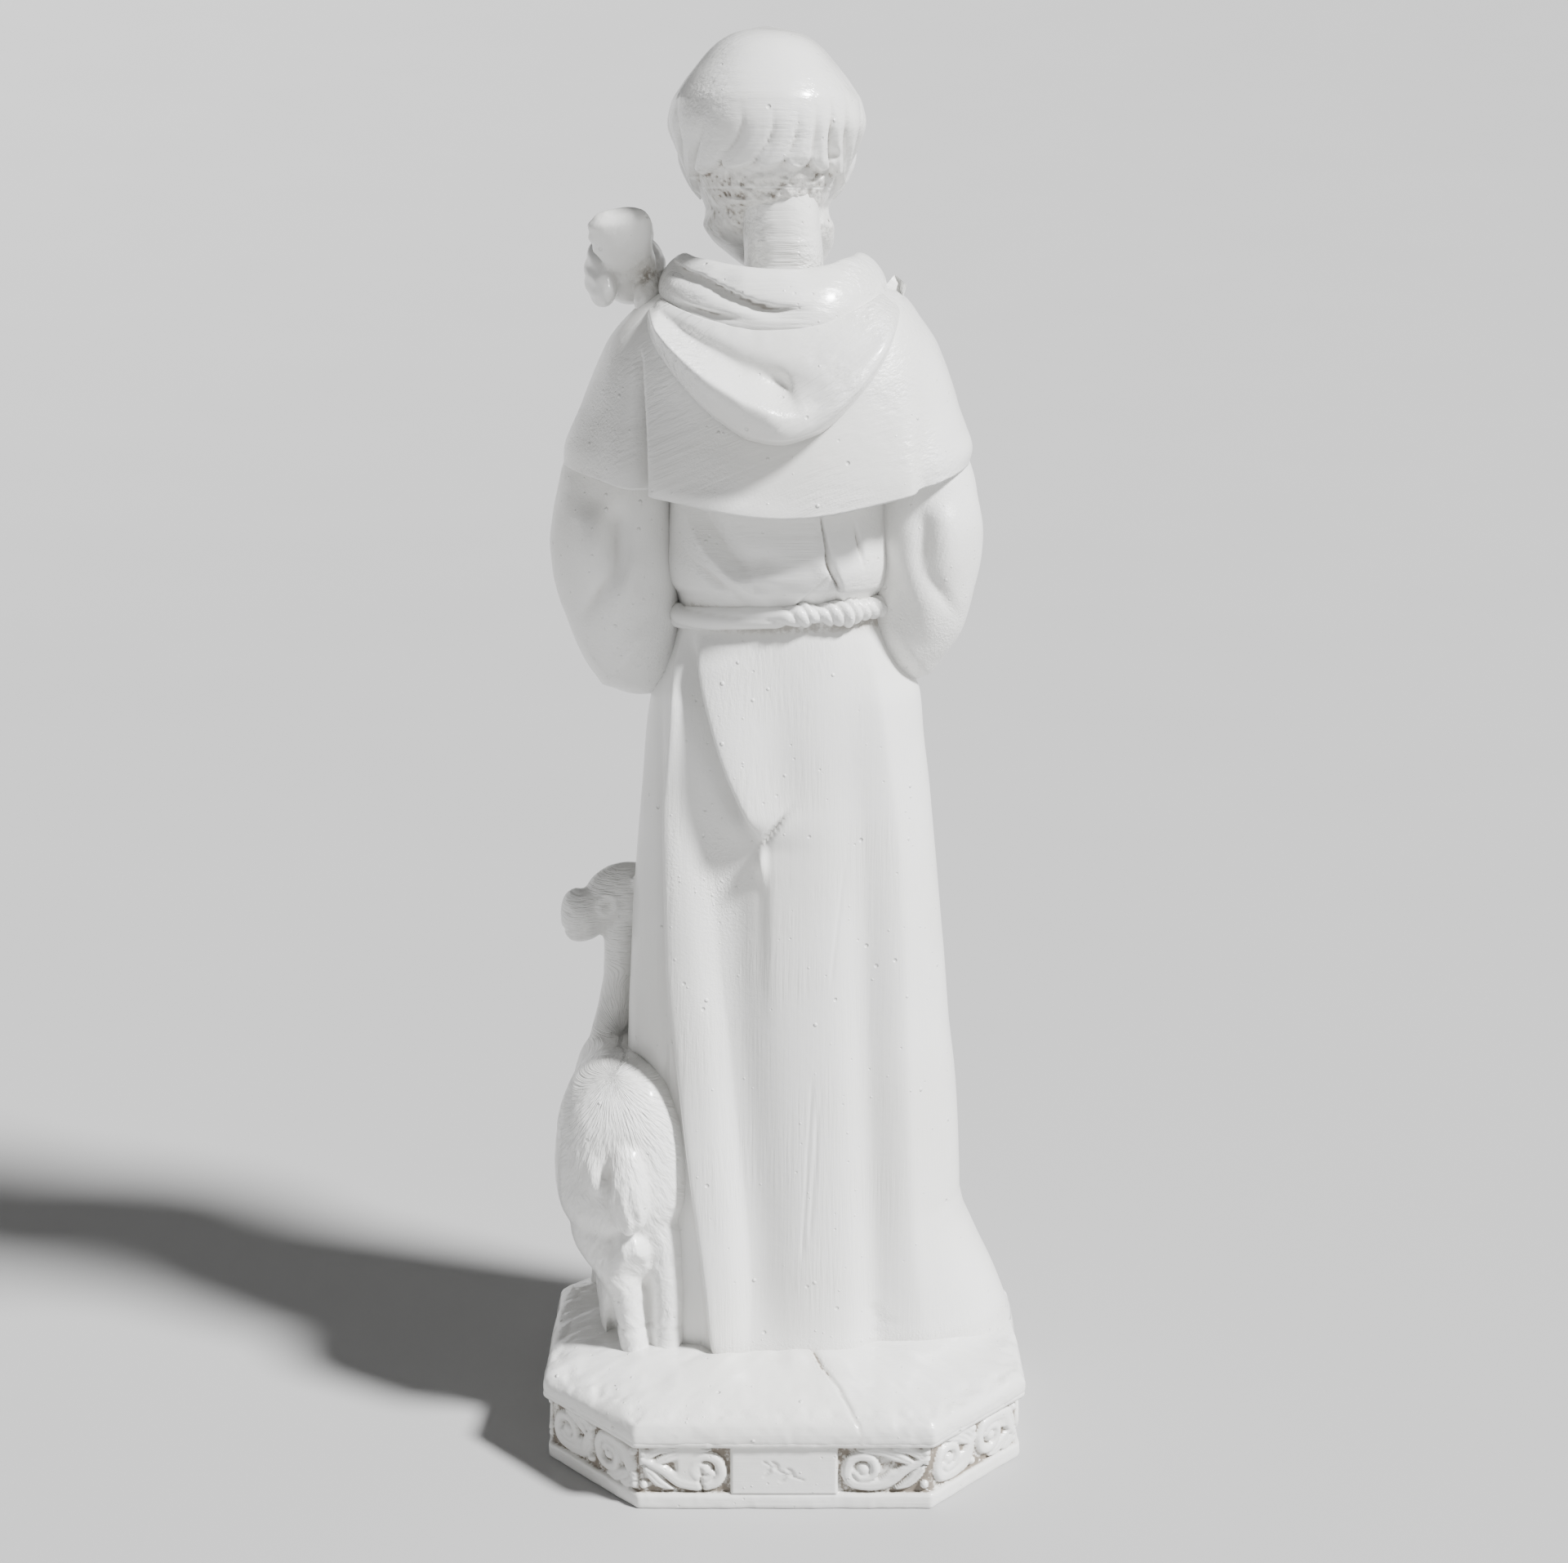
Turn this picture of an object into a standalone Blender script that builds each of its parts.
"""Statue of a tonsured friar with a bird on his left shoulder and a fawn at his left side.

It is cast in one piece with its eight-sided plinth. Metres, +Z up, front towards -Y.
The origin is the middle of the underside. The friar's left side, with the fawn, is at +X.
"""

import math

import bmesh
import bpy
import numpy as np
from mathutils import Vector

# The plinth: an oblong with its four corners cut off.
PLINTH_WIDTH = 0.214
PLINTH_DEPTH = 0.170
PLINTH_HEIGHT = 0.038
CORNER_CUT = 0.043
FOOT_HEIGHT = 0.007
LIP_HEIGHT = 0.0085
LIP_REACH = 0.002
EDGE_ROUND = 0.0018
FRIEZE_DEPTH = 0.0026
PANEL_WIDTH = 0.045
PANEL_SETBACK = 0.0004
CARVING_HEIGHT = 0.0022
CARVING_ROOT = 0.0008
CARVING_MARGIN = 0.0012

# The ground that the figures stand on.
MOUND_RISE = 0.010

# The figures.
FIGURE_HEIGHT = 0.562
FIGURE_SETBACK = 0.018
FAWN_HEIGHT = 0.202
FAWN_GAP = 0.006
BIRD_LENGTH = 0.066

GROUND = PLINTH_HEIGHT + MOUND_RISE

# How finely the figures' forms are melted together, and how many triangles are kept of them.
MELT_GRAIN = 0.0011
FIGURE_TRIANGLES = 6400


def smooth(x, xs, ys):
    """A curve through the table's points with no overshoot, a monotone cubic."""
    xs = np.asarray(xs, float)
    ys = np.asarray(ys, float)
    x = np.clip(x, xs[0], xs[-1])
    step = np.diff(xs)
    slope = np.diff(ys) / step
    tangent = np.zeros(len(xs))
    same_way = slope[:-1] * slope[1:] > 0
    both = slope[:-1] + slope[1:]
    both[both == 0] = 1
    tangent[1:-1] = np.where(same_way, 2 * slope[:-1] * slope[1:] / both, 0)
    tangent[0], tangent[-1] = slope[0], slope[-1]
    i = np.clip(np.searchsorted(xs, x, side="right") - 1, 0, len(step) - 1)
    t = (x - xs[i]) / step[i]
    return (
        ys[i] * (1 + 2 * t) * (1 - t) ** 2
        + ys[i + 1] * t**2 * (3 - 2 * t)
        + step[i] * (tangent[i] * t * (1 - t) ** 2 + tangent[i + 1] * t**2 * (t - 1))
    )


def bump(x, centre, low_side, high_side=None):
    """A rounded ridge of height 1, with its own width on either side of its crest."""
    high_side = low_side if high_side is None else high_side
    away = x - centre
    return np.exp(-((away / np.where(away < 0, low_side, high_side)) ** 2))


def between(x, low, high):
    """0 below low and 1 above high, with a smooth step between them."""
    t = np.clip((x - low) / (high - low), 0, 1)
    return t * t * (3 - 2 * t)


def oval(turn, left, right, back, front, power=2.2):
    """Points of an oval with four different reaches. Turn 0 is the back and a quarter turn is +X."""
    side, rear = np.sin(turn), np.cos(turn)
    across = np.where(side >= 0, left, right)
    along = np.where(rear >= 0, back, front)
    reach = (np.abs(side / across) ** power + np.abs(rear / along) ** power) ** (-1 / power)
    return reach, side, rear


def turns(count, crowd=0.0, towards=0.0):
    """Angles once round, crowded towards one direction."""
    even = np.arange(count) / count * 2 * math.pi
    return even - crowd * np.sin(even - towards)


def closed_skin(name, rings):
    """A sphere with its circles moved onto rings of points and its poles to the middles of the end rings."""
    rings = np.asarray(rings, float)
    rows, count = rings.shape[:2]
    mesh = bmesh.new()
    bmesh.ops.create_uvsphere(mesh, u_segments=count, v_segments=rows + 1, radius=1)
    for vertex in mesh.verts:
        x, y, z = vertex.co
        row = round(math.acos(max(-1, min(1, z))) / math.pi * (rows + 1)) - 1
        place = round(math.atan2(y, x) / (2 * math.pi) * count) % count
        at_pole = row < 0 or row >= rows
        ring = rings[max(0, min(row, rows - 1))]
        vertex.co = ring.mean(axis=0) if at_pole else ring[place]
    bmesh.ops.recalc_face_normals(mesh, faces=mesh.faces)
    return form(name, mesh)


def closed_loop(name, rings):
    """A torus with its circles moved onto rings of points, one ring for each place round its section."""
    rings = np.asarray(rings, float)
    section, count = rings.shape[:2]
    bpy.ops.mesh.primitive_torus_add(major_segments=count, minor_segments=section, major_radius=1, minor_radius=0.25)
    torus = bpy.context.object
    mesh = bmesh.new()
    mesh.from_mesh(torus.data)
    bpy.data.objects.remove(torus)
    for vertex in mesh.verts:
        x, y, z = vertex.co
        place = round(math.atan2(y, x) / (2 * math.pi) * count) % count
        row = round(math.atan2(z, math.hypot(x, y) - 1) / (2 * math.pi) * section) % section
        vertex.co = rings[row][place]
    bmesh.ops.recalc_face_normals(mesh, faces=mesh.faces)
    return form(name, mesh)


def form(name, mesh):
    """Puts a finished bmesh in the scene as one of the forms that the cast is joined from."""
    data = bpy.data.meshes.new(name)
    mesh.to_mesh(data)
    mesh.free()
    made = bpy.data.objects.new(name, data)
    forms.objects.link(made)
    made.hide_render = True
    made.display_type = "WIRE"
    return made


def limb(name, stations, sides, up=(0, 0, 1), power=2.0):
    """A swelling tube whose sections run smoothly through stations of (x, y, z, half width, half height)."""
    stations = np.asarray(stations, float)
    number = np.arange(len(stations))
    fine = np.linspace(0, number[-1], 4 * number[-1] + 1)
    course = np.column_stack([smooth(fine, number, column) for column in stations.T])
    ahead = np.gradient(course[:, :3], axis=0)
    ahead /= np.linalg.norm(ahead, axis=1)[:, None]
    side = np.cross(ahead, np.asarray(up, float))
    side /= np.linalg.norm(side, axis=1)[:, None]
    over = np.cross(side, ahead)
    turn = turns(sides)
    rings = []
    for place, out, top in zip(course, side, over):
        reach, s, c = oval(turn, place[3], place[3], place[4], place[4], power)
        rings.append(place[:3] + out * (reach * s)[:, None] + top * (reach * c)[:, None])
    return closed_skin(name, rings)


def remove_everything():
    for thing in list(bpy.data.objects):
        bpy.data.objects.remove(thing)


def collection(name):
    made = bpy.data.collections.new(name)
    bpy.context.scene.collection.children.link(made)
    return made


# The friar's own unit is a hundredth of his height, measured up from the ground.
def friar(x, y, z):
    """A place on the friar, in hundredths of his height, as a point in metres."""
    unit = FIGURE_HEIGHT / 100
    return np.stack(np.broadcast_arrays(x * unit, y * unit - FIGURE_SETBACK, z * unit + GROUND), axis=-1)


def friar_limb(name, stations, sides, up=(0, 0, 1), power=2.0):
    unit = FIGURE_HEIGHT / 100
    placed = [(*friar(x, y, z), w * unit, h * unit) for x, y, z, w, h in stations]
    return limb(name, placed, sides, up, power)


# Height above the ground, then the reach to +X, -X, the back and the front.
ROBE = np.array([
    (-1.4, 13.9, 14.2, 9.6, 10.0),
    (2.5, 13.5, 14.2, 9.4, 9.8),
    (6.6, 13.3, 14.2, 9.2, 9.6),
    (10.1, 13.2, 14.3, 9.0, 9.4),
    (15.3, 12.9, 14.1, 8.8, 9.25),
    (20.5, 12.6, 13.7, 8.6, 9.1),
    (25.4, 12.4, 13.1, 8.45, 8.9),
    (30.4, 12.1, 12.7, 8.3, 8.8),
    (35.4, 11.8, 12.2, 8.1, 8.7),
    (40.2, 11.4, 11.7, 7.9, 8.6),
    (44.8, 11.0, 11.2, 7.7, 8.5),
    (48.0, 10.7, 10.8, 7.6, 8.45),
    (51.2, 10.2, 10.5, 7.3, 8.3),
    (53.7, 9.2, 9.4, 6.9, 8.0),
    (55.9, 8.4, 8.3, 6.5, 7.7),
    (58.0, 8.0, 7.6, 6.1, 7.4),
    (59.2, 8.2, 7.7, 6.7, 7.8),
    (60.3, 8.8, 8.3, 7.7, 8.6),
    (61.8, 8.9, 8.4, 8.1, 8.9),
    (63.4, 8.7, 8.3, 8.1, 8.9),
    (65.6, 8.5, 8.1, 7.9, 8.9),
    (70.8, 8.2, 7.8, 7.8, 8.9),
])
BELT_LEVEL = 58.0


def robe_folds(x, z, rear):
    """How far the cloth stands out, from its place across the body and its height."""
    behind = between(rear, -0.15, 0.25)
    ahead = between(-rear, -0.15, 0.25)
    below_belt = between(z, BELT_LEVEL - 0.4, BELT_LEVEL - 4)
    tall = smooth(z, (0, 6, 14, 22, 32, 42, 50, 57), (4.7, 4.9, 5.5, 6.4, 7.4, 7.9, 7.7, 7.3))
    swag = smooth(z, (40.6, 42, 45, 49, 53, 57.5), (1.0, 2.4, 4.0, 5.0, 5.6, 6.1))
    hollow = smooth(z, (0, 20, 40), (-8.9, -8.7, -8.2))
    crest = smooth(z, (0, 20, 40, 55), (-11.8, -11.6, -10.4, -9.0))
    out = 0.95 * bump(x, tall, 1.3, 1.0) * between(z, 0, 5)
    out += 1.0 * bump(x, swag, 2.2, 0.75) * between(z, 40.0, 43.5) * below_belt
    out -= 0.7 * bump(x, swag + 0.95, 0.45, 0.6) * between(z, 40.4, 45) * below_belt
    out -= 0.5 * bump(x + 0.8 * (z - 41.0), 0.9, 0.7) * bump(z, 41.0, 1.6)
    out += 0.45 * bump(x, 2.3, 0.7) * bump(z, 39.6, 1.3)
    out -= 0.3 * bump(x, 0.6, 2.2) * bump(z, 46.0, 8)
    out -= 0.65 * bump(x, hollow, 2.0) * between(z, 40, 16)
    out += 0.35 * bump(x, crest, 1.4)
    blouse = bump(z, 62.2, 2.6, 4.2)
    out += 0.5 * bump(x, 3.8, 2.2) * blouse - 0.5 * bump(x + 0.9 * (z - 63), 6.4, 0.7) * blouse
    out -= 0.3 * bump(x, -2.9, 0.5) * bump(z, 64.5, 2.4)
    out *= behind
    front = 0
    for foot, waist, width, height in FRONT_FOLDS:
        line = foot + (waist - foot) * z / BELT_LEVEL
        front = front + height * bump(x, line, width) * between(z, -1, 8) * below_belt
    return out + front * ahead


# Where each fold of the front starts at the hem and ends at the belt, its width and its height.
FRONT_FOLDS = (
    (-10.6, -6.0, 1.3, 0.75),
    (-6.2, -3.4, 1.1, 0.9),
    (-1.4, -0.6, 1.2, 0.8),
    (3.6, 2.2, 1.1, 0.95),
    (8.4, 5.2, 1.3, 0.8),
)
# Height, and how far the skirt spreads there towards the figure's right.
FLARE = ((-1.4, 4.6), (1.4, 3.6), (3.2, 2.85), (5.0, 2.0), (6.8, 1.2), (8.6, 0.4), (10.2, 0.0))
FLARE_WAY = math.radians(-106)


def robe_surface(turn, z):
    left, right, back, front = (smooth(z, ROBE[:, 0], ROBE[:, k]) for k in range(1, 5))
    reach, side, rear = oval(turn, left, right, back, front)
    reach = reach + robe_folds(reach * side, z, rear)
    spread = smooth(z, *zip(*FLARE))
    reach = reach + spread * between(np.cos(turn - FLARE_WAY), 0.55, 0.97)
    return friar(reach * side, reach * rear, z)


def make_robe():
    level, turn = np.meshgrid(np.linspace(-1.4, 70.8, 110), turns(220, 0.35, 0.3), indexing="ij")
    closed_skin("robe", robe_surface(turn, level))


def make_belt():
    """The rope round the waist, and its knotted end down the front."""
    turn = turns(40)
    tilt = BELT_LEVEL + 0.2 - 0.5 * np.sin(turn)
    line = robe_surface(turn, tilt)
    unit = FIGURE_HEIGHT / 100
    outward = np.stack([np.sin(turn), np.cos(turn), np.zeros_like(turn)], axis=-1)
    section = np.arange(5) / 5 * 2 * math.pi
    rings = [
        line + outward * unit * (0.2 + 0.95 * math.cos(a)) + np.array([0, 0, 0.85 * unit * math.sin(a)])
        for a in section
    ]
    closed_loop("rope_belt", rings)
    knots = {34.0, 42.0, 50.0}
    levels = sorted({28.0, 31.0, 38.0, 46.0, 54.0, 58.5} | knots | {k + d for k in knots for d in (-1.2, 1.2)})
    stations = []
    for z in levels:
        x, y, _ = (robe_surface(math.radians(171), z) - friar(0, 0, 0)) / unit
        size = 1.25 if z in knots else 0.62
        stations.append((x, y - 0.15, z, size, size))
    friar_limb("rope_end", stations, 6, up=(0, -1, 0))


# Share of the way from the neck to the hem, then the reach to +X, -X, the back and the front.
CAPE = np.array([
    (0.00, 7.4, 7.1, 6.0, 6.0),
    (0.10, 10.1, 9.1, 7.8, 7.5),
    (0.20, 11.7, 10.1, 8.7, 8.4),
    (0.32, 13.0, 11.2, 9.4, 8.9),
    (0.44, 13.8, 11.9, 9.9, 9.25),
    (0.56, 14.5, 12.5, 10.1, 9.4),
    (0.68, 15.1, 13.0, 10.4, 9.6),
    (0.80, 15.8, 13.6, 10.7, 9.8),
    (0.92, 16.4, 14.1, 10.9, 10.0),
    (1.00, 16.5, 13.9, 11.0, 10.0),
])
CAPE_TOP = 82.2
CAPE_HEM = 66.0
CAPE_LIFT = 3.0
CAPE_THICKNESS = 1.3


def cape_reach(share, turn):
    left, right, back, front = (smooth(share, CAPE[:, 0], CAPE[:, k]) for k in range(1, 5))
    reach, side, rear = oval(turn, left, right, back, front, 2.25)
    x = reach * side
    behind = between(rear, 0.0, 0.3)
    ahead = between(-rear, 0.0, 0.3)
    low = between(share, 0.25, 1.0)
    out = -1.5 * bump(x, 10.1, 0.5, 0.42) * between(share, 0.35, 0.85) * behind
    out += 0.35 * bump(x, 11.2, 0.8, 1.2) * low * behind
    out += 0.45 * bump(x, -9.1, 0.5, 1.3) * low * behind
    out -= 0.35 * bump(x, -9.9, 0.7) * low * behind
    for place in (-9.5, -4.6, 4.6, 9.5):
        out += 0.45 * bump(x, place, 0.9) * low * ahead
    return reach + out, side, rear


def cape_surface(turn, share):
    """The shoulder cape. Shares past 1 turn under the hem and back up inside."""
    outer = np.minimum(share, 1)
    reach, side, rear = cape_reach(outer, turn)
    hem = CAPE_HEM + CAPE_LIFT * side**2
    inside = np.maximum(share - 1, 0)
    reach = reach - CAPE_THICKNESS * between(inside, 0, 0.06) - 4 * between(inside, 0.06, 0.2)
    z = CAPE_TOP + (hem - CAPE_TOP) * outer + 0.9 * between(inside, 0, 0.06) + 1.2 * between(inside, 0.06, 0.2)
    return friar(reach * side, reach * rear, z)


def make_cape():
    outer = np.linspace(0, 1, 34)
    under = np.array([1.03, 1.06, 1.12, 1.2])
    share, turn = np.meshgrid(np.concatenate([outer, under]), turns(240, 0.25, 0.3), indexing="ij")
    closed_skin("cape", cape_surface(turn, share))


def cape_back(x, z):
    """How far back the cape reaches at a place across it and a height."""
    share = np.clip((CAPE_TOP - z) / (CAPE_TOP - CAPE_HEM), 0, 1)
    across = np.where(x >= 0, smooth(share, CAPE[:, 0], CAPE[:, 1]), smooth(share, CAPE[:, 0], CAPE[:, 2]))
    back = smooth(share, CAPE[:, 0], CAPE[:, 3])
    return back * np.maximum(1 - np.abs(x / across) ** 2.25, 0.02) ** (1 / 2.25)


# The hanging hood's edges from +X to -X: where its rim and its root lie, across and up.
HOOD_RIM = np.array([
    (10.4, 80.4), (9.2, 77.8), (6.9, 74.9), (4.6, 72.8), (2.3, 71.5), (0.3, 71.2),
    (-2.3, 71.9), (-5.2, 74.4), (-7.3, 77.2), (-8.5, 80.1), (-9.0, 81.9),
])
HOOD_ROOT = np.array([
    (9.8, 81.4), (8.8, 81.0), (7.0, 80.3), (5.0, 79.7), (2.8, 79.3), (0.6, 79.2),
    (-1.8, 79.4), (-4.0, 80.0), (-6.0, 80.9), (-7.4, 81.8), (-8.2, 82.6),
])


def hood_surface(along, drop, stand):
    """The hood on the back: along it from +X to -X, down it from root to rim, and how far it stands off."""
    share = np.linspace(0, 1, len(HOOD_RIM))
    rim = [smooth(along, share, HOOD_RIM[:, k]) for k in (0, 1)]
    root = [smooth(along, share, HOOD_ROOT[:, k]) for k in (0, 1)]
    x = root[0] + (rim[0] - root[0]) * drop
    z = root[1] + (rim[1] - root[1]) * drop
    return friar(x, cape_back(x, z) + stand, z)


def hood_thickness(along, drop):
    """Thin at its root, with a fat roll along the rim and a broad fold that runs down its +X side."""
    tail_off = between(along, -0.02, 0.1) * between(along, 1.02, 0.86)
    belly = 0.9 + 0.6 * np.sin(drop * math.pi)
    roll = 1.5 * bump(drop, 0.8, 0.24, 0.15)
    fold = 0.75 * bump(along + 0.28 * (1 - drop), 0.3, 0.13, 0.07) * bump(drop, 0.6, 0.5)
    return (belly + roll + fold) * between(drop, 1.03, 0.93) * tail_off - 0.5 * (1 - tail_off)


def make_hood():
    """The collar turned down round the neck and the hood that hangs from it, each a closed form."""
    drop = 1 - (1 - np.linspace(0, 1, 26)) ** 1.3
    rings = []
    for a in np.linspace(0, 1, 70):
        outer = hood_surface(a, drop, hood_thickness(a, drop))
        inner = hood_surface(a, drop[::-1] * 0.97, -1.6 + 1.9 * between(drop[::-1], 0.6, 0.95))
        rings.append(np.vstack([outer, inner]))
    closed_skin("hanging_hood", rings)
    turn = turns(120)
    closed_loop("collar", [collar_surface(turn, a) for a in np.arange(24) / 24 * 2 * math.pi])


def collar_surface(turn, section):
    """The turned-down collar: round the neck, then round its own thickness. Section 0 is its outer side."""
    reach, side, rear = oval(turn, 7.7, 6.6, 7.7, 6.6, 2.1)
    height = smooth(np.cos(turn), (-1, -0.5, 0, 0.6, 1), (78.6, 81.0, 82.7, 81.9, 81.0))
    thick = 0.95 + 0.25 * bump(rear, 1, 0.8)
    tall = 1.35 + 0.85 * bump(rear, 1, 0.7)
    up = tall * np.sin(section)
    fold = 0.35 * bump(up, 0.55 - 0.25 * side, 0.35) * between(side, -0.35, 0.1) * between(rear, 0, 0.5)
    reach = reach + thick * np.cos(section) - 0.5 * up - fold * between(np.cos(section), 0, 0.7)
    return friar(reach * side + 0.3, reach * rear + 0.4, height + up)


# Height, half width, then how far the head reaches back and to the front, from the body's axis.
HEAD = np.array([
    (82.4, 1.6, -4.3, -7.6),
    (83.1, 2.9, -2.6, -8.3),
    (84.0, 3.5, -0.8, -8.7),
    (85.1, 4.2, 1.8, -8.9),
    (86.3, 4.6, 3.6, -8.9),
    (87.2, 4.95, 5.0, -8.8),
    (87.9, 5.15, 6.2, -8.7),
    (89.1, 5.7, 6.9, -8.65),
    (90.4, 6.2, 7.5, -8.6),
    (91.8, 6.65, 7.85, -8.6),
    (93.2, 7.1, 8.0, -8.55),
    (94.7, 7.05, 7.8, -8.4),
    (95.9, 6.2, 7.1, -7.9),
    (97.3, 5.1, 5.9, -6.8),
    (98.7, 3.8, 4.3, -5.4),
    (99.5, 2.5, 2.5, -3.6),
    (100.0, 0.5, 0.0, -1.2),
])
HEAD_MIDDLE = 1.25
# The face, in the same unit: places across from its middle, and heights.
EYE_LINE = 91.4
EYE_APART = 2.55
BROW_LINE = 92.7
NOSE_BASE = 88.7
MOUTH_LINE = 87.2
FRINGE = 94.9


def hair_edge(turn):
    """The height of the hair's lower edge, low behind the ears and high over the forehead."""
    return smooth(np.cos(turn), (-1, -0.72, -0.45, -0.1, 0.3, 1), (FRINGE, FRINGE - 0.3, 90.6, 88.6, 89.6, 90.4))


def face_relief(x, z):
    """What the features add towards the front, from a plain oval face."""
    far = np.abs(x)
    out = 0.42 * bump(far, 1.9, 1.6, 2.0) * bump(z, BROW_LINE, 0.75)
    out -= 0.95 * bump(far, EYE_APART, 1.15, 1.5) * bump(z, EYE_LINE, 0.85, 0.7)
    out += 0.55 * bump(far, EYE_APART, 0.85) * bump(z, EYE_LINE - 0.05, 0.5)
    bridge = np.clip((BROW_LINE - z) / (BROW_LINE - NOSE_BASE), 0, 1)
    nose = (0.35 + 1.75 * bridge**1.3) * bump(x, 0, 0.62 + 0.35 * bridge)
    out += nose * between(z, NOSE_BASE - 0.55, NOSE_BASE + 0.25) * between(z, BROW_LINE + 1.2, BROW_LINE - 0.6)
    out += 0.75 * bump(far, 0.95, 0.5) * bump(z, NOSE_BASE + 0.2, 0.5)
    out += 0.35 * bump(far, 3.1, 1.5) * bump(z, 89.4, 1.3)
    out += 0.45 * bump(far, 1.0, 1.3) * bump(z, MOUTH_LINE + 0.75, 0.45)
    out -= 0.35 * bump(far, 0, 1.6) * bump(z, MOUTH_LINE, 0.22)
    out += 0.4 * bump(far, 0, 1.2) * bump(z, MOUTH_LINE - 0.55, 0.35)
    out -= 0.3 * bump(far, 0, 1.4) * bump(z, MOUTH_LINE - 1.25, 0.4)
    out += 0.5 * bump(far, 0, 1.9) * bump(z, 84.4, 1.3)
    return out


def head_surface(turn, z):
    half, back, front = (smooth(z, HEAD[:, 0], HEAD[:, k]) for k in (1, 2, 3))
    middle, deep = (back + front) / 2, (back - front) / 2
    reach, side, rear = oval(turn, half, half, deep, deep, 2.15)
    face = between(-rear, 0.1, 0.75)
    haired = between(z, hair_edge(turn) - 0.25, hair_edge(turn) + 0.3)
    bare = 0.45 * (1 - haired) * between(-rear, -0.35, 0.2) * between(z, 84.5, 87.5)
    crown = 0.25 * between(-rear, -0.1, 0.7) * between(z, 94.8, 96.4) * between(z, 99.6, 97)
    reach = reach - (bare + crown) * np.minimum(reach, 3) / 3
    sweep = 13 * turn + 0.9 * np.where(side > 0, 1, -1) * (z - 91)
    ridge = np.abs(np.cos(sweep / 2)) ** 0.6
    depth = (0.25 + 0.35 * np.abs(side)) * bump(z, hair_edge(turn) + 1.2, 1.6, 2.4)
    nape = 0.75 * (1 - haired) * between(rear, -0.1, 0.35) * between(z, 86.0, 87.5)
    reach = reach - depth * (1 - ridge) * haired - nape
    x = reach * side * (1 - 0.10 * between(-rear, 0, 1))
    y = middle + reach * rear
    y = y - face_relief(x, z) * face * (1 - haired)
    lean = HEAD_MIDDLE * between(z, 82, 87)
    return friar(x + lean, y, z)


def make_head():
    level, turn = np.meshgrid(np.linspace(82.4, 100.0, 90), turns(160, 0.3, 0), indexing="ij")
    closed_skin("head", head_surface(turn, level))
    friar_limb("neck", [
        (0.0, 0.9, 77.0, 3.6, 4.4),
        (0.0, 1.0, 83.0, 2.9, 4.1),
        (0.2, 1.1, 86.0, 2.85, 4.3),
        (0.6, 0.8, 90.0, 2.9, 4.4),
    ], 32, up=(0, 1, 0), power=2.6)
    for name, way in (("left", 1), ("right", -1)):
        friar_limb(f"{name}_ear", [
            (HEAD_MIDDLE + way * 4.6, -3.4, 88.2, 0.5, 0.6),
            (HEAD_MIDDLE + way * 5.3, -3.2, 89.2, 0.6, 0.9),
            (HEAD_MIDDLE + way * 6.0, -3.0, 90.8, 0.6, 1.1),
            (HEAD_MIDDLE + way * 6.2, -2.9, 92.2, 0.4, 0.7),
        ], 12, up=(0, 1, 0))


def make_arms():
    """Both sleeves, bent at the elbow, and the hands laid one over the other on the breast."""
    for name, way, swell, drop in (("left", 1, 1.0, 0.0), ("right", -1, 0.92, 0.9)):
        reach = 12.9 if way > 0 else 10.7
        friar_limb(f"{name}_sleeve", [
            (way * (reach - 1.4), 0.2, 71.5, 3.4, 4.2),
            (way * (reach - 0.2), 0.8, 67.0, 4.2 * swell, 4.6),
            (way * reach, 1.2, 62.6 + drop, 4.7 * swell, 4.9),
            (way * (reach - 0.6), 0.6, 58.2 + drop, 4.4 * swell, 4.9),
            (way * (reach - 1.9), -1.6, 55.0 + drop, 3.9, 4.5),
            (way * (reach - 3.4), -4.6, 55.6 + drop, 3.3, 4.1),
            (way * (reach - 5.2), -7.2, 59.4 + drop, 2.7, 4.0),
            (way * (reach - 7.4), -8.9, 63.0 + drop / 2, 2.2, 3.2),
        ], 14, up=(0, -1, 0.35))
        friar_limb(f"{name}_cuff", [
            (way * (reach - 3.4), -3.8, 54.0 + drop, 1.8, 2.6),
            (way * (reach - 4.6), -5.8, 54.2 + drop, 2.2, 3.0),
            (way * (reach - 6.2), -7.7, 57.6 + drop, 2.3, 3.1),
            (way * (reach - 7.6), -8.7, 61.4 + drop / 2, 2.1, 2.6),
        ], 10, up=(0, -1, 0.35))
        make_hand(name, way, reach)


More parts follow.
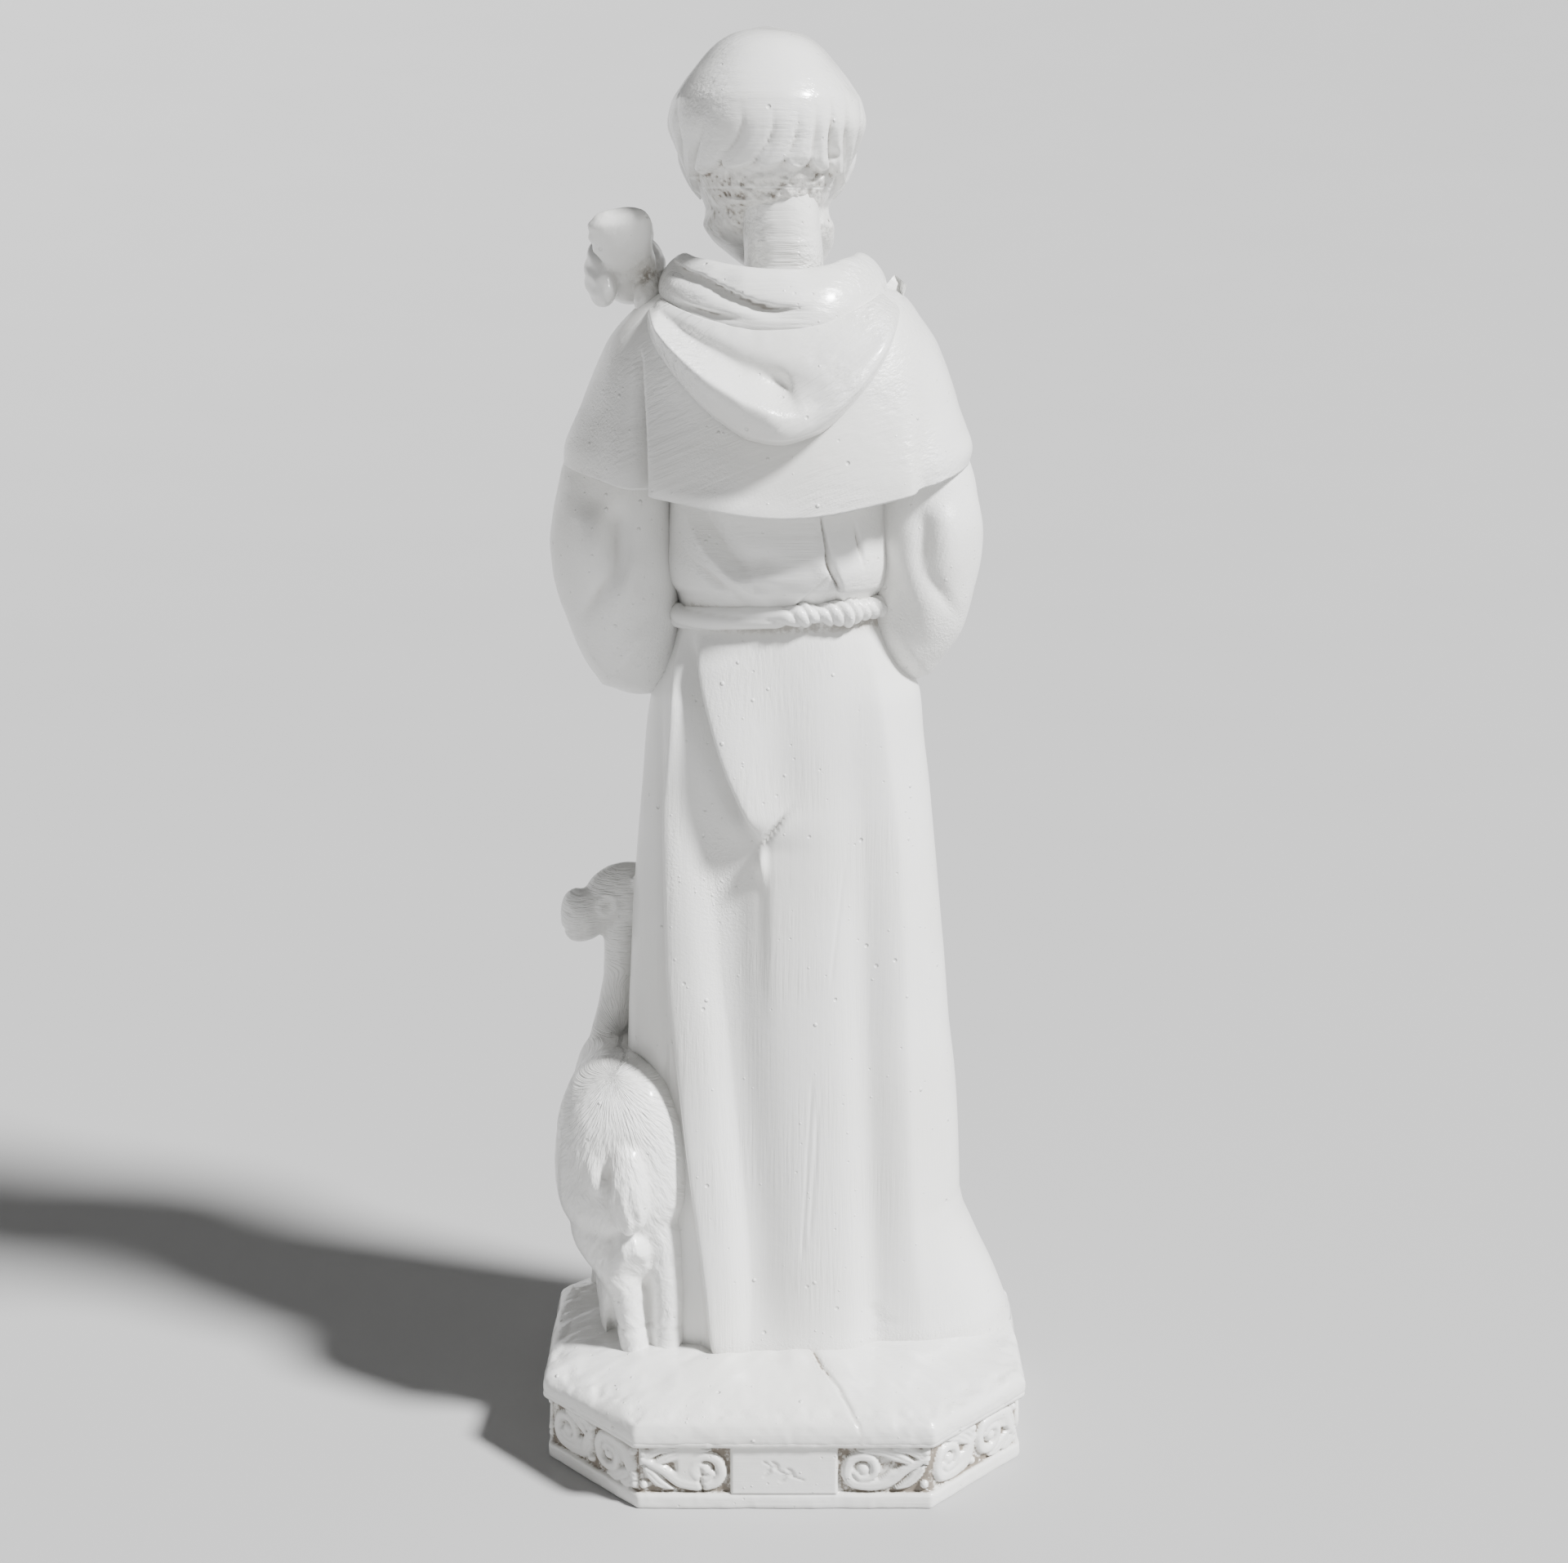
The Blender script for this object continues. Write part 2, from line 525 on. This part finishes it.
def make_hand(name, way, reach):
    """A hand lying flat on the breast, its fingers together and pointing to the other shoulder."""
    over = 0.7 if way < 0 else 0.0
    wrist = np.array((way * (reach - 7.8), -9.3 - over, 63.8))
    tips = np.array((way * -1.7, -9.9 - over, 70.6))
    ahead = (tips - wrist) / np.linalg.norm(tips - wrist)
    across = np.cross(ahead, (0, -1, 0))
    across /= np.linalg.norm(across)

    def at(along, aside, lift=0.0):
        return wrist + ahead * along + across * aside * way + np.array((0, -lift, 0))

    friar_limb(f"{name}_palm", [
        (*at(-1.6, 0), 1.5, 1.2),
        (*at(0.6, 0), 1.7, 1.15),
        (*at(2.6, 0.1), 2.2, 0.95),
        (*at(4.2, 0.1), 2.1, 0.75),
    ], 10, up=(0, -1, 0))
    for i, length in enumerate((3.4, 4.0, 3.8, 3.0)):
        aside = -1.62 + i * 1.08
        friar_limb(f"{name}_finger_{i + 1}", [
            (*at(3.2, aside), 0.52, 0.6),
            (*at(3.6 + length * 0.5, aside * 1.02, 0.12), 0.56, 0.62),
            (*at(3.6 + length, aside * 0.96, -0.15), 0.4, 0.42),
        ], 6, up=(0, -1, 0))
    friar_limb(f"{name}_thumb", [
        (*at(0.6, 1.3), 0.7, 0.7),
        (*at(2.4, 2.4, 0.2), 0.65, 0.65),
        (*at(4.0, 2.9, 0.1), 0.45, 0.45),
    ], 6, up=(0, -1, 0))


def make_feet():
    for name, x in (("left_foot", 4.4), ("right_foot", -4.2)):
        friar_limb(name, [
            (x * 0.9, -6.2, 0.3, 1.9, 1.7),
            (x, -8.8, 0.3, 2.3, 1.5),
            (x * 1.05, -10.2, 0.0, 2.3, 1.1),
            (x * 1.07, -10.9, -0.2, 1.6, 0.7),
        ], 10)


# The fawn's own unit is a hundredth of its height. Across is from its middle, and along is to the back.
# Its middle stands off the robe's +X side by a gap, which a recessed web fills as far as the head.
FAWN_SIDE = 0.119 * FIGURE_HEIGHT


def fawn(x, y, z):
    unit = FAWN_HEIGHT / 100
    across = x * unit + FAWN_SIDE + FAWN_GAP
    return np.stack(np.broadcast_arrays(across, y * unit, z * unit + GROUND), axis=-1)


def fawn_limb(name, stations, sides, up=(0, 0, 1), power=2.0):
    unit = FAWN_HEIGHT / 100
    placed = [(*fawn(x, y, z), w * unit, h * unit) for x, y, z, w, h in stations]
    return limb(name, placed, sides, up, power)


# Along, then the middle across, half width, middle height and the reach up and down of the fawn's body.
FAWN_BODY = (
    (17.6, -0.4, 1.5, 39.0, 2.5, 3.0),
    (17.0, -0.4, 6.5, 39.0, 8.0, 8.0),
    (15.0, -0.4, 10.5, 39.0, 13.5, 13.0),
    (11.0, -0.2, 13.4, 39.0, 18.0, 17.0),
    (5.0, 0.2, 14.4, 39.5, 20.5, 18.5),
    (-1.0, 0.6, 13.4, 40.5, 20.0, 17.5),
    (-8.0, 1.0, 11.8, 42.0, 18.0, 16.5),
    (-16.0, 1.6, 10.8, 44.0, 17.0, 18.0),
    (-22.0, 2.0, 9.6, 46.0, 15.5, 18.0),
    (-26.0, 2.0, 7.4, 46.5, 12.5, 14.0),
    (-28.6, 2.0, 2.6, 46.5, 5.0, 6.0),
)


def make_fawn():
    """It stands beside the friar with its rump to the back and its head turned out to the side."""
    number = np.arange(len(FAWN_BODY))
    course = np.column_stack([
        smooth(np.linspace(0, number[-1], 50), number, column) for column in np.array(FAWN_BODY).T
    ])
    turn = turns(48)
    rings = []
    for y, x, half, z, above, below in course:
        reach, side, over = oval(turn, half, half, above, below, 2.1)
        rings.append(fawn(x + reach * side, y, z + reach * over))
    closed_skin("fawn_body", rings)
    fawn_limb("fawn_neck", [
        (1.8, -18.0, 48.0, 8.5, 9.5),
        (2.2, -20.5, 58.0, 6.6, 7.6),
        (1.6, -22.0, 67.0, 4.6, 5.8),
        (1.0, -22.6, 76.0, 4.1, 5.2),
        (0.6, -22.6, 86.0, 4.4, 5.4),
        (0.2, -22.6, 93.0, 4.0, 5.0),
    ], 12, up=(0, 1, 0))
    fawn_limb("fawn_head", [
        (-7.0, -25.0, 92.0, 3.0, 4.0),
        (-5.0, -24.4, 92.2, 6.0, 7.0),
        (-0.5, -23.4, 92.0, 7.0, 8.0),
        (3.5, -22.4, 90.8, 6.2, 7.2),
        (7.0, -21.4, 89.4, 5.6, 6.2),
        (10.5, -20.4, 88.6, 5.6, 6.0),
        (12.6, -19.8, 88.4, 4.2, 4.6),
        (13.4, -19.6, 88.4, 1.6, 2.0),
    ], 12)
    for side, y in (("near", -17.2), ("far", -29.6)):
        way = 1 if side == "near" else -1
        fawn_limb(f"fawn_{side}_ear", [
            (-3.0, y - way * 1.5, 96.0, 1.6, 1.4),
            (-5.0, y + way * 0.5, 98.4, 2.6, 1.4),
            (-7.4, y + way * 1.6, 100.0, 2.2, 1.2),
            (-9.4, y + way * 2.2, 101.0, 0.7, 0.6),
        ], 6, up=(0, way, 0.3))
    fawn_limb("fawn_tail", [
        (0.0, 9.5, 57.0, 1.8, 2.4),
        (-1.2, 14.6, 51.0, 3.2, 3.0),
        (-2.3, 18.4, 44.0, 3.9, 3.4),
        (-2.9, 19.8, 37.0, 3.9, 3.4),
        (-3.1, 19.4, 31.4, 2.8, 2.8),
        (-3.1, 18.6, 28.6, 0.9, 1.0),
    ], 20, up=(0, 1, 0))
    fawn_limb("fawn_tuft", [
        (6.4, 14.0, 49.0, 1.0, 1.0),
        (6.2, 16.6, 45.0, 2.4, 1.8),
        (5.4, 17.0, 40.0, 2.2, 1.6),
        (4.8, 16.4, 36.0, 0.8, 0.8),
    ], 12, up=(0, 1, 0))
    for name, stations in FAWN_LEGS.items():
        fawn_limb(f"fawn_{name}_leg", stations, 20, up=(0, 1, 0))
    fawn_limb("fawn_web", [
        (-2.6, 10.0, 27.0, 5.0, 4.0),
        (-3.0, 8.6, 16.0, 4.6, 3.4),
        (-3.4, 8.4, 4.0, 4.4, 3.4),
        (-3.6, 8.4, -4.0, 4.6, 3.6),
    ], 12, up=(0, 1, 0))
    fawn_limb("fawn_rock", [
        (-2.0, 11.0, 10.0, 3.0, 14.0),
        (-1.6, 9.0, 11.0, 5.4, 19.0),
        (-0.6, 0.0, 12.0, 6.6, 21.0),
        (0.6, -10.0, 12.0, 6.6, 21.0),
        (1.4, -20.0, 12.0, 4.8, 19.0),
        (1.6, -22.5, 10.0, 2.6, 13.0),
    ], 20, power=2.8)
    fawn_limb("fawn_side_web", [
        (-8.0, -20.0, 40.0, 5.6, 2.2),
        (-6.0, -20.6, 55.0, 5.6, 2.2),
        (-4.4, -21.6, 72.0, 5.2, 2.0),
        (-4.4, -22.0, 90.0, 5.2, 2.0),
    ], 16, up=(0, 1, 0), power=2.6)


# Across, along, up, then the half width and half depth of each of the fawn's legs.
FAWN_LEGS = {
    "outer_hind": (
        (5.2, 5.0, 33.0, 6.4, 9.0),
        (5.9, 7.6, 23.0, 6.2, 8.2),
        (5.2, 11.2, 14.6, 4.6, 5.4),
        (3.4, 11.8, 8.0, 3.4, 4.1),
        (1.6, 12.4, 0.5, 3.1, 3.9),
        (0.4, 13.6, -4.6, 3.7, 4.4),
    ),
    "inner_hind": (
        (-7.2, 5.0, 33.0, 6.0, 9.0),
        (-8.6, 8.2, 23.0, 5.4, 7.4),
        (-9.6, 10.8, 14.6, 4.6, 5.4),
        (-9.4, 11.4, 8.0, 4.0, 4.6),
        (-9.2, 11.8, 0.5, 3.6, 4.2),
        (-8.4, 12.8, -4.6, 4.2, 4.6),
    ),
    "outer_fore": (
        (6.6, -18.0, 36.0, 5.4, 6.4),
        (6.6, -20.0, 20.0, 3.6, 4.4),
        (6.3, -20.6, 10.0, 3.0, 3.6),
        (6.2, -21.0, 2.0, 2.8, 3.4),
        (6.2, -22.0, -4.0, 3.6, 4.2),
    ),
    "inner_fore": (
        (-3.0, -18.0, 36.0, 5.4, 6.4),
        (-3.2, -20.4, 20.0, 3.6, 4.4),
        (-3.0, -21.2, 10.0, 3.0, 3.6),
        (-3.0, -21.8, 2.0, 2.8, 3.4),
        (-3.0, -23.0, -4.0, 3.6, 4.2),
    ),
}


# The bird's own unit is a tenth of its length. It sits on the shoulder with its tail to the back.
BIRD_PLACE = (11.4, -1.4, 83.0)


def make_bird():
    unit = BIRD_LENGTH / 10
    perch = friar(*BIRD_PLACE)

    def bird_limb(name, stations, sides, up=(0, 0, 1), power=2.0):
        placed = [(*(perch + np.array((x, y, z)) * unit), w * unit, h * unit) for x, y, z, w, h in stations]
        return limb(name, placed, sides, up, power)

    bird_limb("bird_body", [
        (-0.2, -3.7, 0.5, 0.8, 0.9),
        (-0.2, -2.8, 0.3, 1.8, 1.9),
        (0.1, -1.4, 0.0, 2.1, 2.3),
        (0.3, 0.0, 0.0, 1.9, 2.1),
        (0.3, 1.2, 0.4, 1.4, 1.7),
        (0.2, 2.0, 1.0, 0.7, 0.9),
    ], 24)
    bird_limb("bird_tail", [
        (-0.5, 0.2, -0.4, 1.1, 1.3),
        (-0.4, 1.3, 0.3, 1.25, 1.2),
        (0.0, 2.3, 1.1, 1.6, 1.15),
        (0.3, 3.0, 1.9, 1.95, 1.05),
        (0.4, 3.5, 2.6, 2.0, 0.95),
        (0.4, 3.9, 3.2, 1.7, 0.8),
        (0.4, 4.1, 3.5, 0.9, 0.4),
    ], 24, up=(0.25, -0.75, 0.75), power=2.6)
    bird_limb("bird_neck", [
        (-0.2, -2.4, 0.6, 1.3, 1.4),
        (-0.3, -3.2, 1.8, 1.0, 1.1),
        (-0.4, -3.6, 3.0, 0.95, 1.0),
    ], 16, up=(0, -1, 0))
    bird_limb("bird_head", [
        (-0.3, -2.5, 3.3, 0.3, 0.3),
        (-0.35, -2.9, 3.3, 0.95, 0.95),
        (-0.4, -3.6, 3.3, 1.15, 1.15),
        (-0.5, -4.4, 3.1, 0.8, 0.8),
        (-0.6, -5.0, 2.9, 0.35, 0.35),
        (-0.7, -5.7, 2.7, 0.1, 0.1),
    ], 16)
    for name, way in (("outer", 1), ("inner", -1)):
        bird_limb(f"bird_{name}_wing", [
            (way * 1.2, -3.0, 0.7, 0.4, 0.8),
            (way * 1.9, -1.8, 0.5, 0.75, 1.6),
            (way * 2.1, -0.2, 0.0, 0.8, 1.7),
            (way * 1.9, 1.2, -0.6, 0.85, 1.5),
            (way * 1.5, 2.4, -1.2, 0.8, 1.25),
            (way * 1.2, 3.2, -1.6, 0.3, 0.5),
        ], 20)


def outline(inset, width=PLINTH_WIDTH, depth=PLINTH_DEPTH, cut=CORNER_CUT):
    """The plinth's eight corners seen from above, each side moved in by inset."""
    x, y = width / 2 - inset, depth / 2 - inset
    slant = cut - inset * (2 - math.sqrt(2))
    return [
        (x - slant, y), (x, y - slant), (x, slant - y), (x - slant, -y),
        (slant - x, -y), (-x, slant - y), (-x, y - slant), (slant - x, y),
    ]


def make_plinth():
    """Foot, recessed frieze, overhanging lip and the ground that rises from it, in one skin."""
    foot = LIP_REACH
    floor = LIP_REACH + FRIEZE_DEPTH
    top, under_lip = PLINTH_HEIGHT, PLINTH_HEIGHT - LIP_HEIGHT
    profile = [
        (foot + EDGE_ROUND / 2, 0),
        (foot, EDGE_ROUND / 2),
        (foot, FOOT_HEIGHT - EDGE_ROUND / 2),
        (foot + EDGE_ROUND / 2, FOOT_HEIGHT),
        (floor, FOOT_HEIGHT + EDGE_ROUND / 9),
        (floor, under_lip - EDGE_ROUND / 9),
        (EDGE_ROUND / 2, under_lip),
        (0, under_lip + EDGE_ROUND),
        (0, top - EDGE_ROUND),
        (EDGE_ROUND, top),
    ]
    rings = [[(x, y, z) for x, y in outline(inset)] for inset, z in profile]
    closed_skin("plinth_block", rings)
    for name, way in (("back_panel", 1), ("front_panel", -1)):
        mesh = bmesh.new()
        bmesh.ops.create_cube(mesh, size=1)
        tall = under_lip - FOOT_HEIGHT + EDGE_ROUND
        deep = FRIEZE_DEPTH * 2
        bmesh.ops.scale(mesh, verts=mesh.verts, vec=(PANEL_WIDTH, deep, tall))
        middle = (PLINTH_DEPTH / 2 - LIP_REACH - PANEL_SETBACK - deep / 2) * way
        bmesh.ops.translate(mesh, verts=mesh.verts, vec=(0, middle, (FOOT_HEIGHT + under_lip) / 2))
        form(name, mesh)


# The mound from its edge inwards: the share of the plinth's plan, and the share of the mound's rise.
MOUND = ((0.975, -0.2), (0.965, 0.16), (0.945, 0.38), (0.91, 0.5), (0.85, 0.62), (0.76, 0.78), (0.64, 0.94), (0.4, 1.0))


def make_ground():
    """A low mound with a steep, lumpy edge."""
    rings = []
    for share, rise in MOUND:
        ring = []
        corners = np.array(outline(0))
        for a, b in zip(corners, np.roll(corners, -1, axis=0)):
            ring += [a + (b - a) * t for t in (0, 0.25, 0.5, 0.75)]
        ring = np.array(ring)
        x, y = ring.T
        u, v = x / PLINTH_WIDTH, y / PLINTH_DEPTH
        lumps = np.sin(20 * u + 1.3) * np.sin(20 * v + 0.4) + 0.6 * np.sin(45 * u - 27 * v)
        ring *= (share + 0.008 * lumps * (rise > 0))[:, None]
        height = PLINTH_HEIGHT + MOUND_RISE * (rise + 0.06 * lumps * (rise > 0))
        rings.append(np.column_stack([ring, height]))
    under = rings[0] * (0.98, 0.98, 1) - (0, 0, LIP_HEIGHT / 2)
    closed_skin("ground", [under, *rings])


def ribbon(path, widths, top, root, flat=True):
    """A raised band along a flat path of (along, up) points, as rings for closed_skin in the frieze's own plane."""
    path = np.asarray(path, float)
    ahead = np.gradient(path, axis=0)
    ahead /= np.linalg.norm(ahead, axis=1)[:, None]
    aside = np.column_stack([-ahead[:, 1], ahead[:, 0]])
    section = [(-0.5, -root), (-0.2, top), (0.2, top), (0.5, -root)] if flat else [(-0.5, -root), (0, top), (0.5, -root)]
    return [[(*(p + n * w * across), up) for across, up in section] for p, n, w in zip(path, aside, widths)]


def scroll(radius, stem, steps=9):
    """A volute about (0, 0) with its stem starting at -stem along: the path and its widths."""
    start = [(-stem, 0.5 * radius), (-0.5 * stem - 0.45 * radius, 0.0), (-0.95 * radius, -0.62 * radius)]
    angle = np.linspace(math.radians(-110), math.radians(310), steps)
    share = np.linspace(0, 1, steps)
    reach = radius * (0.84 - 0.5 * share)
    curl = np.column_stack([reach * np.cos(angle), reach * np.sin(angle)])
    path = np.vstack([start, curl])
    widths = radius * np.concatenate([[0.2, 0.34, 0.4], 0.42 - 0.2 * share])
    return path, widths


def leaf(radius, stem):
    """A pointed leaf that springs from the stem on the side away from the curl: its path and its widths."""
    start, tip = np.array((-0.75 * stem, 0.28 * radius)), np.array((-0.62 * radius - 0.2 * stem, 0.9 * radius))
    share = np.linspace(0, 1, 4)[:, None]
    path = start + (tip - start) * share + np.array((-0.12, 0.16)) * radius * np.sin(share * math.pi)
    return path, radius * np.array([0.24, 0.5, 0.4, 0.08])


def make_frieze():
    """Scrolls with a bead in each eye, in a running band on all eight sides."""
    low, high = FOOT_HEIGHT, PLINTH_HEIGHT - LIP_HEIGHT
    middle = (low + high) / 2
    radius = (high - low) / 2 - CARVING_MARGIN
    corners = [Vector((x, y, middle)) for x, y in outline(LIP_REACH + FRIEZE_DEPTH)]
    for n, start in enumerate(corners):
        end = corners[(n + 1) % 8]
        along = (end - start).normalized()
        out = Vector((along.y, -along.x, 0))
        if out.dot((start + end) / 2 - Vector((0, 0, middle))) < 0:
            out.negate()
        length = (end - start).length
        for k, (place, hand, flip, stem) in enumerate(scroll_places(n, length, radius)):
            curl = ribbon(*scroll(radius, stem), CARVING_HEIGHT, CARVING_ROOT)
            frond = ribbon(*leaf(radius, stem), CARVING_HEIGHT, CARVING_ROOT, flat=False)
            eye = [(0.24 * radius * math.cos(a), 0.24 * radius * math.sin(a)) for a in np.arange(5) * 0.4 * math.pi]
            for what, rings in (("scroll", curl), ("leaf", frond), ("bead", bead(eye))):
                placed = [
                    [start + along * (place + hand * u) + Vector((0, 0, flip * v)) + out * w for u, v, w in ring]
                    for ring in rings
                ]
                closed_skin(f"frieze_{what}_{n}_{k}", placed)


def bead(eye):
    """A small boss with as many sides as the eye that it fills."""
    return [[(u, v, -CARVING_ROOT) for u, v in eye], [(u * 0.7, v * 0.7, CARVING_HEIGHT * 0.8) for u, v in eye]]


def scroll_places(side, length, radius):
    """Each scroll's eye along the side, the way its stem runs, whether it is upside down, and its stem."""
    if side in (3, 7):
        clear = PANEL_WIDTH / 2 + radius + CARVING_MARGIN
        stem = length / 2 - clear - CARVING_MARGIN
        return [(length / 2 - clear, 1, 1, stem), (length / 2 + clear, -1, 1, stem)]
    room = length - 2 * CARVING_MARGIN
    count = max(1, int(room / (2.6 * radius)))
    spread = room / count
    stem = spread - radius - CARVING_MARGIN
    return [
        (CARVING_MARGIN + spread * (i + 1) - radius, 1, 1 if i % 2 else -1, stem) for i in range(count)
    ]


def painted_plaster():
    paint = bpy.data.materials.new("white_gloss_paint")
    paint.use_nodes = True
    shader = paint.node_tree.nodes["Principled BSDF"]
    shader.inputs["Base Color"].default_value = (0.86, 0.86, 0.84, 1)
    shader.inputs["Roughness"].default_value = 0.42
    shader.inputs["Metallic"].default_value = 0.0
    return paint


def outer_skin(mesh):
    """Drops every closed pocket from a bmesh, and keeps the body with the most corners."""
    unseen = set(mesh.verts)
    bodies = []
    while unseen:
        body, edge_of_body = set(), [next(iter(unseen))]
        while edge_of_body:
            vertex = edge_of_body.pop()
            if vertex in body:
                continue
            body.add(vertex)
            edge_of_body += [edge.other_vert(vertex) for edge in vertex.link_edges]
        unseen -= body
        bodies.append(body)
    bodies.sort(key=len)
    for body in bodies[:-1]:
        bmesh.ops.delete(mesh, geom=list(body), context="VERTS")


def cast_in_one():
    """Melts the figures' forms into one skin, thins it out and joins it to the plinth as one solid."""
    block, carving = [], []
    figures = bmesh.new()
    for part in list(forms.objects):
        if part.name in ("plinth_block", "back_panel", "front_panel"):
            block.append(part)
        elif part.name.startswith("frieze"):
            carving.append(part)
        else:
            figures.from_mesh(part.data)
    crowd = form("figures_as_modelled", figures)
    melt = crowd.modifiers.new("melt", "REMESH")
    melt.mode = "VOXEL"
    melt.voxel_size = MELT_GRAIN
    bpy.context.view_layer.update()
    melted = bmesh.new()
    melted.from_mesh(crowd.evaluated_get(bpy.context.evaluated_depsgraph_get()).data)
    outer_skin(melted)
    triangles = sum(len(face.verts) - 2 for face in melted.faces)
    cast = form("figures", melted)
    thin = cast.modifiers.new("thin", "DECIMATE")
    thin.ratio = FIGURE_TRIANGLES / triangles
    statue = bpy.data.objects.new("saint_francis_statue", block[0].data.copy())
    statue_parts.objects.link(statue)
    statue.data.materials.append(painted_plaster())
    for part in [*block[1:], *carving, cast]:
        join = statue.modifiers.new(part.name, "BOOLEAN")
        join.operation = "UNION"
        join.solver = "EXACT"
        join.object = part


remove_everything()
statue_parts = collection("saint_francis_statue")
forms = collection("forms_joined_into_the_cast")
make_plinth()
make_ground()
make_frieze()
make_robe()
make_belt()
make_cape()
make_hood()
make_head()
make_arms()
make_feet()
make_fawn()
make_bird()
cast_in_one()
